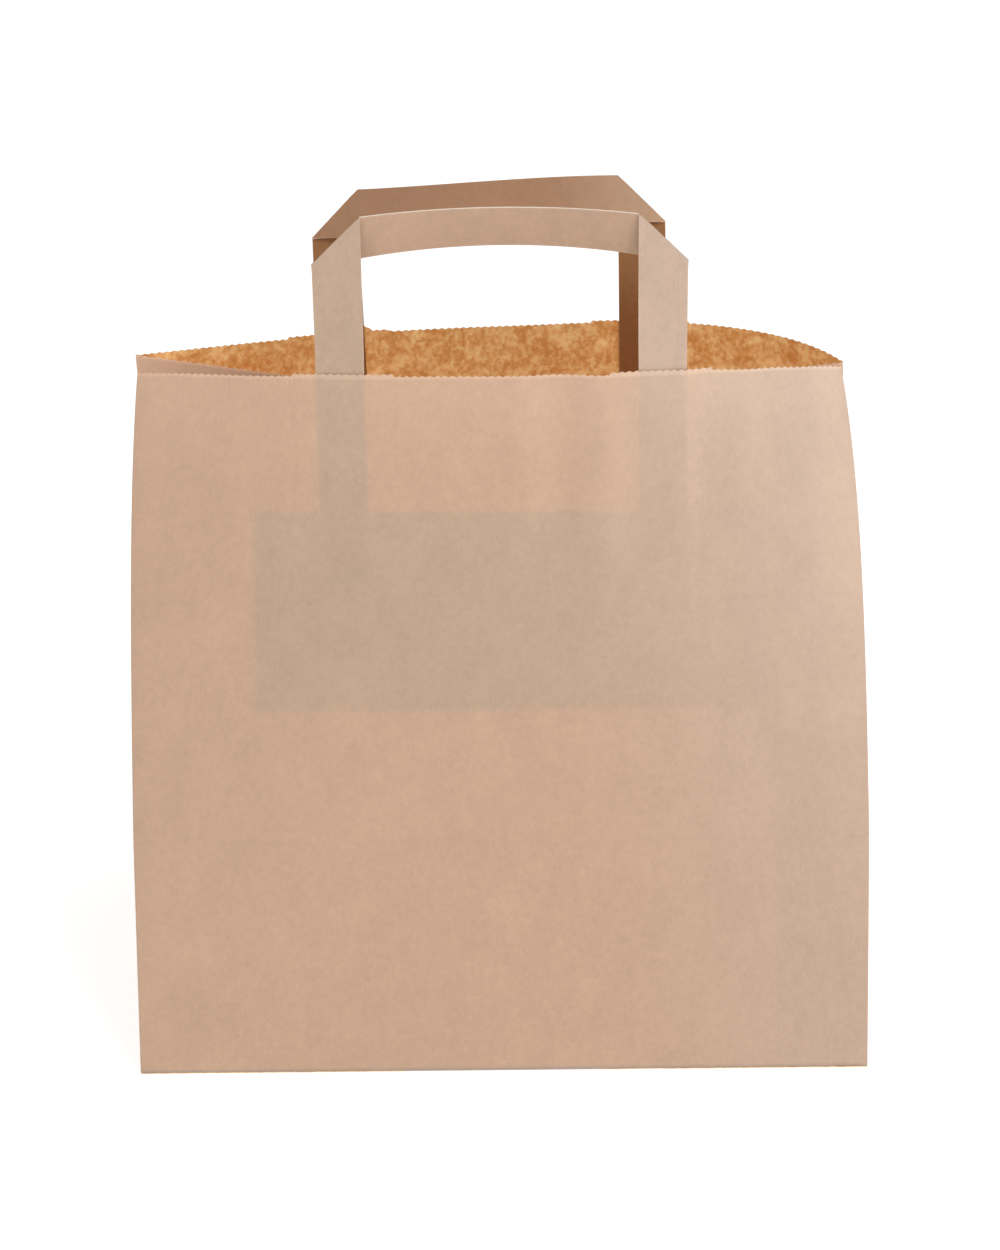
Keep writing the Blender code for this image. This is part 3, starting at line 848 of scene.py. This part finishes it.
def srgb(red, green, blue):
    """A colour of the screen, 0 to 255, as the linear colour that a shader takes."""
    def linear(value):
        value = value / 255
        return value / 12.92 if value <= 0.04045 else ((value + 0.055) / 1.055) ** 2.4
    return (linear(red), linear(green), linear(blue), 1.0)


# Colours of the paper, some with painted light or shade in them: lighter copies for the right, where
# the lamp falls, darker ones for the base and the back handle, and the inside's with light through the
# paper
KRAFT_OUTSIDE = srgb(196, 163, 138)
# A lighter copy for the panels' upper right: painted light from the lamp on the right
KRAFT_OUTSIDE_LIT_RIGHT = srgb(205, 178, 156)
# A greyer, lighter tone toward the panels' right: painted light
KRAFT_GREYER_LIT = srgb(198, 174, 158)
# A darker tone at the panels' base: painted shade where the edge turns under
KRAFT_BASE_SHADE = srgb(168, 150, 136)
KRAFT_OVER_LAYERS = srgb(185, 158, 136)
# A lighter copy for the upper right: painted light
KRAFT_OVER_LAYERS_LIT_RIGHT = srgb(198, 173, 154)
# The inside's amber: the paper's own inner tone, brightened with painted light that comes through the
# paper
KRAFT_INSIDE_BACKLIT = srgb(250, 219, 160)
KRAFT_INSIDE_DEEP_BACKLIT = srgb(228, 167, 97)
LIGHT_THROUGH_PAPER = 0.10
KRAFT_EDGE = srgb(240, 226, 208)
STRIP_LEG = srgb(186, 159, 137)
# A lighter copy for the legs' +X end: painted light from the right
STRIP_LEG_LIT_RIGHT = srgb(195, 169, 150)
STRIP_BAR = srgb(187, 156, 132)
# The back bar's side seen from the front: painted shade, and its +X end lighter as painted light
STRIP_BAR_BACK_SHADED = srgb(166, 126, 97)
STRIP_BAR_BACK_SHADED_LIT_RIGHT = srgb(184, 150, 122)
# The back legs' inner side, seen through the mouth: painted shade in dark brown
STRIP_LEG_BACK_SHADE = srgb(150, 107, 70)
# How far the panels' right is painted greyer and lighter, as painted light
LIT_GREYER_SHARE = 0.38
PLY_LINE = 0.2

# Where the front panel's bends are lit or shaded: across from and to, up from and to, amount
LIT_BENDS = (
    (0.008, 0.022, 0.195, 0.262, 0.035), (0.022, 0.036, 0.178, 0.240, -0.022),
    (0.037, 0.045, 0.185, 0.242, 0.034), (0.0630, 0.0710, 0.196, 0.262, 0.026),
    (0.078, 0.086, 0.199, 0.238, -0.028), (0.088, 0.095, 0.215, 0.242, 0.030),
    (0.112, 0.128, 0.170, 0.262, 0.030), (-0.128, -0.116, 0.190, 0.262, 0.035),
    (-0.100, -0.060, 0.100, 0.150, -0.012), (0.0660, 0.0695, 0.168, 0.200, 0.018),
    (0.0705, 0.0735, 0.168, 0.198, -0.014),
)
LIT_SIDE_BORDER = 0.4
LIT_END_BORDER = 0.012

# Noises: features in a metre, stretch, detail, offset and amount
EVEN = (1.0, 1.0, 1.0)
NO_OFFSET = (0.0, 0.0, 0.0)
PAPER_NOISES = (
    (28.0, EVEN, 2.0, NO_OFFSET, 0.018),
    (85.0, (1.0, 1.0, 0.6), 6.0, (0.4, 0.6, 0.1), 0.042),
    (340.0, EVEN, 6.0, NO_OFFSET, 0.046),
    (900.0, (1.0, 1.0, 0.6), 4.0, (0.3, 0.1, 0.2), 0.040),
)
INSIDE_NOISES = (
    (540.0, (1.0, 1.0, 0.7), 8.0, (0.7, 0.2, 0.5), 0.65),
    (120.0, EVEN, 4.0, (0.1, 0.8, 0.3), 0.60),
)
INSIDE_TONE = 0.19
STRIP_NOISE = (210.0, (1.0, 1.0, 0.5), 5.0, (0.2, 0.5, 0.9))
STRIP_TONE = 0.030

# Dark fibres: cells in a metre, size within a cell, share of the cells and tone
SPECKS = (230.0, 0.075, 0.030)
SPECK_TONE = -0.20

# A panel's two creases, painted darker as painted shade: height, half width, border and tone, and how
# they waver
CREASES = (
    (HALF_GUSSET, 0.0003, 0.0005, -0.022),
    (2 * HALF_GUSSET, 0.0004, 0.0006, -0.012),
)
CREASE_WAVES = 60.0
CREASE_WAVER = 0.00025

# Parts of both panels that the studio lightens: across from and to, up from and to, and tone
PANEL_TONES = (
    (-0.060, -HALF_WIDTH, 0.170, BAG_HEIGHT, 0.060),
    (HALF_WIDTH - 0.024, HALF_WIDTH - 0.002, 0.050, 0.190, 0.095),
)

# How layers behind the front panel show: soft borders, and how much of their tone
LEG_BORDER = 0.0010
PATCH_SIDE_BORDER = 0.0022
PATCH_END_BORDER = 0.0018
SEAM_BORDER = 0.0009
PATCH_SHARE = 0.80
PATCH_CLOUDS = 35.0
PATCH_CLOUDING = 0.16
LEG_OVER_PATCH = 0.12
SEAM_SHARE = 0.14

# Light from all round, and lamps with place, size in metres and power in watts
WORLD_LIGHT = 0.50
FLOOR_GLOW = 0.62
FLOOR_REACH = 14.0
KEY_LAMP = ((0.75, -1.05, 1.40), 0.8, 12.5)
FILL_LAMP = ((-1.2, -1.0, 1.2), 1.5, 2.5)
LAMP_TARGET = (0.0, 0.0, 0.12)


class PaperShader:
    """A paper material: each method adds nodes and gives their output."""

    def __init__(self, name, roughness):
        self.material = bpy.data.materials.new(name)
        self.material.use_nodes = True
        self.tree = self.material.node_tree
        self.surface = self.tree.nodes["Principled BSDF"]
        self.surface.inputs["Roughness"].default_value = roughness
        self.surface.inputs["Specular IOR Level"].default_value = 0.2
        self.place = self.node("ShaderNodeTexCoord").outputs["Object"]
        paper = self.node("ShaderNodeAttribute", {"attribute_name": "paper"}).outputs["Vector"]
        parts = self.node("ShaderNodeSeparateXYZ", inputs=[paper]).outputs
        self.across, self.height, self.kind = parts[0], parts[1], parts[2]

    def node(self, kind, settings=None, inputs=()):
        made = self.tree.nodes.new(kind)
        for name, value in (settings or {}).items():
            setattr(made, name, value)
        for socket, value in zip(made.inputs, inputs):
            self.feed(socket, value)
        return made

    def named(self, kind, **inputs):
        """A node with these inputs by their names."""
        made = self.node(kind)
        for name, value in inputs.items():
            self.feed(made.inputs[name], value)
        return made

    def feed(self, socket, value):
        if isinstance(value, bpy.types.NodeSocket):
            self.tree.links.new(value, socket)
        elif value is not None:
            socket.default_value = value

    def math(self, operation, first, second=0.0):
        return self.node("ShaderNodeMath", {"operation": operation}, [first, second]).outputs[0]

    def product(self, first, second):
        return self.math("MULTIPLY", first, second)

    def on_front(self):
        """One on the front panel's paper, zero elsewhere."""
        return self.math("LESS_THAN", self.kind, FRONT / 2)

    def on_panels(self):
        """One on both panels' paper, zero on the gussets'."""
        return self.math("GREATER_THAN", self.math("ABSOLUTE", self.kind), BACK / 2)

    def ramp(self, value, start, end, low=0.0, high=1.0):
        """A smooth change from low to high between two values."""
        settings = {"interpolation_type": "SMOOTHSTEP"}
        return self.node("ShaderNodeMapRange", settings, [value, start, end, low, high]).outputs[0]

    def band(self, value, start, end, soft):
        """One between start and end, zero outside, with soft borders."""
        rising = self.ramp(value, start - soft, start + soft)
        falling = self.ramp(value, end - soft, end + soft, 1.0, 0.0)
        return self.product(rising, falling)

    def noise(self, scale, stretch=EVEN, detail=3.0, offset=NO_OFFSET):
        """Noise from about -1 to 1, with this many features in a metre."""
        mapped = self.named("ShaderNodeMapping", Vector=self.place, Scale=stretch, Location=offset)
        place = mapped.outputs[0]
        noise = self.named(
            "ShaderNodeTexNoise", Vector=place, Scale=scale, Detail=detail, Roughness=0.6
        )
        centred = self.math("SUBTRACT", noise.outputs[0], 0.5)
        return self.product(centred, 4.0)

    def specks(self, scale, size, share):
        """One in the middle of a few random cells: small dark fibres in the paper."""
        cells = self.named("ShaderNodeTexVoronoi", Vector=self.place, Scale=scale)
        near = self.ramp(cells.outputs["Distance"], size * 0.5, size, 1.0, 0.0)
        pick = self.node("ShaderNodeSeparateXYZ", inputs=[cells.outputs["Color"]]).outputs[0]
        chosen = self.math("LESS_THAN", pick, share)
        return self.product(near, chosen)

    def sum_of(self, layers):
        """A brightness: one, with each layer added in its amount."""
        total = 1.0
        for layer, amount in layers:
            total = self.math("ADD", total, self.product(layer, amount))
        return total

    def scaled(self, colour, brightness):
        made = self.node("ShaderNodeVectorMath", {"operation": "SCALE"})
        self.feed(made.inputs[0], colour if isinstance(colour, bpy.types.NodeSocket) else colour[:3])
        self.feed(made.inputs["Scale"], brightness)
        return made.outputs[0]

    def mix(self, share, first, second):
        made = self.node("ShaderNodeMix", {"data_type": "RGBA"})
        self.feed(made.inputs[0], share)
        self.feed(made.inputs[6], first)
        self.feed(made.inputs[7], second)
        return made.outputs[2]

    def finish(self, colour, layers, grain, strength):
        """Sets the colour, as bright as its layers make it, and a fine bump."""
        self.feed(self.surface.inputs["Base Color"], self.scaled(colour, self.sum_of(layers)))
        bump = self.named("ShaderNodeBump", Strength=strength, Distance=0.0004, Height=grain)
        self.feed(self.surface.inputs["Normal"], bump.outputs[0])
        return self.material


def paper_layers(shader):
    """Every sheet's layers of brightness, and the finest noise of them for its grain."""
    layers = [(shader.noise(*noise), amount) for *noise, amount in PAPER_NOISES]
    fibre = layers[-1][0]
    layers.append((shader.specks(*SPECKS), SPECK_TONE))
    return layers, fibre


def shows_through(shader):
    """Where glued layers behind the front panel show as a greyer tone: legs, patch and seam."""
    left, right = leg_centres()
    leg_bottom = BAG_HEIGHT - LEG_GLUED
    patch_top = BAG_HEIGHT - PATCH_BELOW_EDGE
    seam_end = HALF_WIDTH - SEAM_TO_FOLD
    on_leg = shader.math(
        "MAXIMUM",
        shader.band(shader.across, left - HALF_STRIP, left + HALF_STRIP, LEG_BORDER),
        shader.band(shader.across, right - HALF_STRIP, right + HALF_STRIP, LEG_BORDER),
    )
    over_bottom = shader.ramp(shader.height, leg_bottom - LEG_BORDER, leg_bottom + LEG_BORDER)
    low, high = PATCH_SHIFT - PATCH_WIDTH / 2, PATCH_SHIFT + PATCH_WIDTH / 2
    patch = shader.product(
        shader.band(shader.across, low, high, PATCH_SIDE_BORDER),
        shader.band(shader.height, patch_top - PATCH_HEIGHT, patch_top, PATCH_END_BORDER),
    )
    seam = shader.band(shader.across, seam_end - SEAM_WIDTH, seam_end, SEAM_BORDER)
    clouds = shader.product(shader.noise(PATCH_CLOUDS), PATCH_CLOUDING)
    fade = shader.ramp(shader.across, 0.015, 0.095, 1.0, 0.5)
    patchy = shader.product(shader.math("ADD", PATCH_SHARE, clouds), fade)
    patch = shader.product(patch, patchy)
    leg_share = shader.math("ADD", patchy, LEG_OVER_PATCH)
    legs = shader.product(shader.product(on_leg, over_bottom), leg_share)
    layers = shader.math("MAXIMUM", legs, patch)
    layers = shader.math("MAXIMUM", layers, shader.product(seam, SEAM_SHARE))
    return shader.product(layers, shader.on_front())


def panel_tones(shader):
    """The outside's lighter and darker parts: painted shade in the creases and below the lower crease,
    a lighter top edge, painted light in the top band, on the gussets near the mouth and on the corners,
    and the lit and shaded bends.
    """
    on_panels = shader.on_panels()
    wave = shader.product(shader.noise(CREASE_WAVES, detail=2.0), CREASE_WAVER)
    level = shader.math("ADD", shader.height, wave)
    layers = []
    # Painted shade in the creases
    for height, half, border, tone in CREASES:
        crease = shader.band(level, height - half, height + half, border)
        layers.append((shader.product(crease, on_panels), tone))
    # Painted shade: the panels are darker below the lower crease
    below = shader.ramp(shader.height, HALF_GUSSET - 0.004, HALF_GUSSET + 0.004, 1.0, 0.0)
    # The last of these is painted light: the top 40 mm are lighter, as light comes through the paper
    layers += [
        (shader.product(below, on_panels), -0.020),
        (shader.ramp(shader.height, BAG_HEIGHT - 0.0017, BAG_HEIGHT - 0.0006), 0.17),
        (shader.ramp(shader.height, BAG_HEIGHT - 0.040, BAG_HEIGHT), 0.05),
    ]
    for start, end, low, high, tone in PANEL_TONES:
        across = shader.ramp(shader.across, start, end)
        up = shader.ramp(shader.height, low, high)
        layers.append((shader.product(shader.product(across, up), on_panels), tone))
    front = shader.on_front()
    for start, end, low, high, tone in LIT_BENDS:
        across = shader.band(shader.across, start, end, (end - start) * LIT_SIDE_BORDER)
        up = shader.band(shader.height, low, high, LIT_END_BORDER)
        layers.append((shader.product(front, shader.product(across, up)), tone))
    # Painted light on the gussets and folds near the mouth
    off_panels = shader.math("SUBTRACT", 1.0, on_panels)
    mouth_light = shader.ramp(shader.height, BAG_HEIGHT - 0.030, BAG_HEIGHT)
    layers.append((shader.product(off_panels, mouth_light), 0.22))
    return layers


def kraft_outside():
    shader = PaperShader("kraft_outside", 0.74)
    layers, fibre = paper_layers(shader)
    layers += panel_tones(shader)
    on_panels = shader.on_panels()
    # Painted light: the panels' upper right is painted lighter, toward the lamp on the right
    upper = shader.product(shader.ramp(shader.height, 0.06, BAG_HEIGHT), on_panels)
    lit_toward_right = shader.product(shader.ramp(shader.across, 0.0, HALF_WIDTH), upper)
    plain = shader.mix(lit_toward_right, KRAFT_OUTSIDE, KRAFT_OUTSIDE_LIT_RIGHT)
    over_layers = shader.mix(lit_toward_right, KRAFT_OVER_LAYERS, KRAFT_OVER_LAYERS_LIT_RIGHT)
    colour = shader.mix(shows_through(shader), plain, over_layers)
    # Painted light: the panels turn greyer and lighter toward the right
    lit_rightward = shader.product(shader.ramp(shader.across, 0.020, HALF_WIDTH), on_panels)
    colour = shader.mix(shader.product(lit_rightward, LIT_GREYER_SHARE), colour, KRAFT_GREYER_LIT)
    # Painted shade along the panels' lowest two millimetres, where the base edge turns under
    base_shade = shader.product(shader.ramp(shader.height, 0.0022, 0.0006), on_panels)
    colour = shader.mix(base_shade, colour, KRAFT_BASE_SHADE)
    return shader.finish(colour, layers, fibre, 0.18)


def kraft_inside_backlit():
    shader = PaperShader("kraft_inside_backlit", 0.8)
    layers, fibre = paper_layers(shader)
    parts = [shader.product(shader.noise(*noise), share) for *noise, share in INSIDE_NOISES]
    both = shader.math("ADD", *parts)
    layers.append((both, INSIDE_TONE))
    colour = shader.mix(shader.ramp(both, -0.6, 0.6), KRAFT_INSIDE_DEEP_BACKLIT, KRAFT_INSIDE_BACKLIT)
    # A small glow on the inside: painted light for light that comes through the paper
    shader.feed(shader.surface.inputs["Emission Color"], colour)
    shader.feed(shader.surface.inputs["Emission Strength"], LIGHT_THROUGH_PAPER)
    return shader.finish(colour, layers, fibre, 0.18)


def kraft_edge():
    shader = PaperShader("kraft_edge", 0.85)
    layers, fibre = paper_layers(shader)
    return shader.finish(KRAFT_EDGE, layers, fibre, 0.1)


def strip_paper(name, legs, bars):
    """One face of a handle's strip, with the line of its folded ply.

    The legs and the bars each have a colour at the -X end and one at the +X end; the +X one is a
    lighter copy, painted light from the right.
    """
    shader = PaperShader(name, 0.72)
    layers, fibre = paper_layers(shader)
    on_bar = shader.math("GREATER_THAN", shader.kind, (LEG + BAR) / 2)
    ply = shader.band(shader.across, PLY_LINE - 0.006, PLY_LINE + 0.006, 0.010)
    rims = shader.math(
        "MAXIMUM",
        shader.ramp(shader.across, 0.045, 0.0),
        shader.ramp(shader.across, 0.955, 1.0),
    )
    layers += [(ply, -0.06), (rims, 0.07), (shader.noise(*STRIP_NOISE), STRIP_TONE)]
    x_place = shader.node("ShaderNodeSeparateXYZ", inputs=[shader.place]).outputs[0]
    # Painted light: lighter toward +X, where the lamp stands
    lit_rightward = shader.ramp(x_place, 0.010, 0.062)
    colour = shader.mix(on_bar, shader.mix(lit_rightward, *legs), shader.mix(lit_rightward, *bars))
    return shader.finish(colour, layers, fibre, 0.15)


# The stage, the lights and the camera


def make_floor():
    mesh = bpy.data.meshes.new("floor")
    corners = [(x * FLOOR_REACH, y * FLOOR_REACH, 0.0) for x, y in ((-1, -1), (1, -1), (1, 1), (-1, 1))]
    mesh.from_pydata(corners, [], [[0, 1, 2, 3]])
    floor = add_object("floor", mesh)
    material = bpy.data.materials.new("floor_white")
    material.use_nodes = True
    surface = material.node_tree.nodes["Principled BSDF"]
    settings = {
        "Base Color": (0.8, 0.8, 0.8, 1.0),
        "Roughness": 0.9,
        "Emission Color": (1.0, 1.0, 1.0, 1.0),
        "Emission Strength": FLOOR_GLOW,
    }
    for name, value in settings.items():
        surface.inputs[name].default_value = value
    mesh.materials.append(material)


def make_world():
    world = bpy.data.worlds.new("studio")
    world.use_nodes = True
    background = world.node_tree.nodes["Background"]
    background.inputs["Color"].default_value = (1.0, 1.0, 1.0, 1.0)
    background.inputs["Strength"].default_value = WORLD_LIGHT
    bpy.context.scene.world = world


def make_light(name, place, size, watts):
    data = bpy.data.lights.new(name, "AREA")
    data.shape = "SQUARE"
    data.size = size
    data.energy = watts
    lamp = add_object(name, data)
    lamp.location = place
    toward = Vector(LAMP_TARGET) - Vector(place)
    lamp.rotation_euler = toward.to_track_quat("-Z", "Y").to_euler()


def make_camera():
    data = bpy.data.cameras.new("camera")
    data.sensor_width = 36.0
    data.lens = CAMERA_FOCAL * data.sensor_width
    data.clip_start = 0.05
    data.clip_end = 20.0
    camera = add_object("camera", data)
    elevation = math.radians(CAMERA_ELEVATION)
    heading = math.radians(CAMERA_HEADING)
    forward = Vector((
        math.sin(heading) * math.cos(elevation),
        math.cos(heading) * math.cos(elevation),
        -math.sin(elevation),
    ))
    right = Vector((math.cos(heading), -math.sin(heading), 0.0))
    up = right.cross(forward)
    roll = math.radians(CAMERA_ROLL)
    turned_right = right * math.cos(roll) + up * math.sin(roll)
    turned_up = up * math.cos(roll) - right * math.sin(roll)
    turn = Matrix((turned_right, turned_up, -forward)).transposed()
    camera.rotation_euler = turn.to_euler()
    camera.location = Vector(CAMERA_AIM) - forward * CAMERA_DISTANCE
    bpy.context.scene.camera = camera


def main():
    outside = kraft_outside()
    inside = kraft_inside_backlit()
    edge = kraft_edge()
    leg_light = (STRIP_LEG, STRIP_LEG_LIT_RIGHT)
    bar_light = (STRIP_BAR, STRIP_BAR)
    strips = {
        FRONT: [strip_paper("front_strip", leg_light, bar_light)] * 2 + [edge],
        BACK: [
            # The back strip's bar on its outer side and its legs on its inner side are painted shade
            strip_paper("back_strip_outer_shaded_bar", leg_light, (STRIP_BAR_BACK_SHADED, STRIP_BAR_BACK_SHADED_LIT_RIGHT)),
            strip_paper("back_strip_inner_shaded_legs", (STRIP_LEG_BACK_SHADE, STRIP_LEG_BACK_SHADE), bar_light),
            edge,
        ],
    }
    bag = make_bag([outside, inside, edge])
    flaps = bottom_flaps(outside, inside)
    for piece in [bag] + flaps:
        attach(piece, "root")
    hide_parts("bag_body")
    for name, side in (("front", FRONT), ("back", BACK)):
        handle = make_handle(name + "_handle_paper", side, strips[side])
        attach(handle, "root")
        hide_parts(name + "_handle")
        patch = make_patch(name + "_patch_paper", side, [inside, inside, edge])
        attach(patch, "root")
        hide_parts(name + "_patch")
    make_floor()
    make_world()
    make_light("key", *KEY_LAMP)
    make_light("fill", *FILL_LAMP)
    make_camera()
    bpy.context.scene.view_settings.view_transform = "Standard"


main()
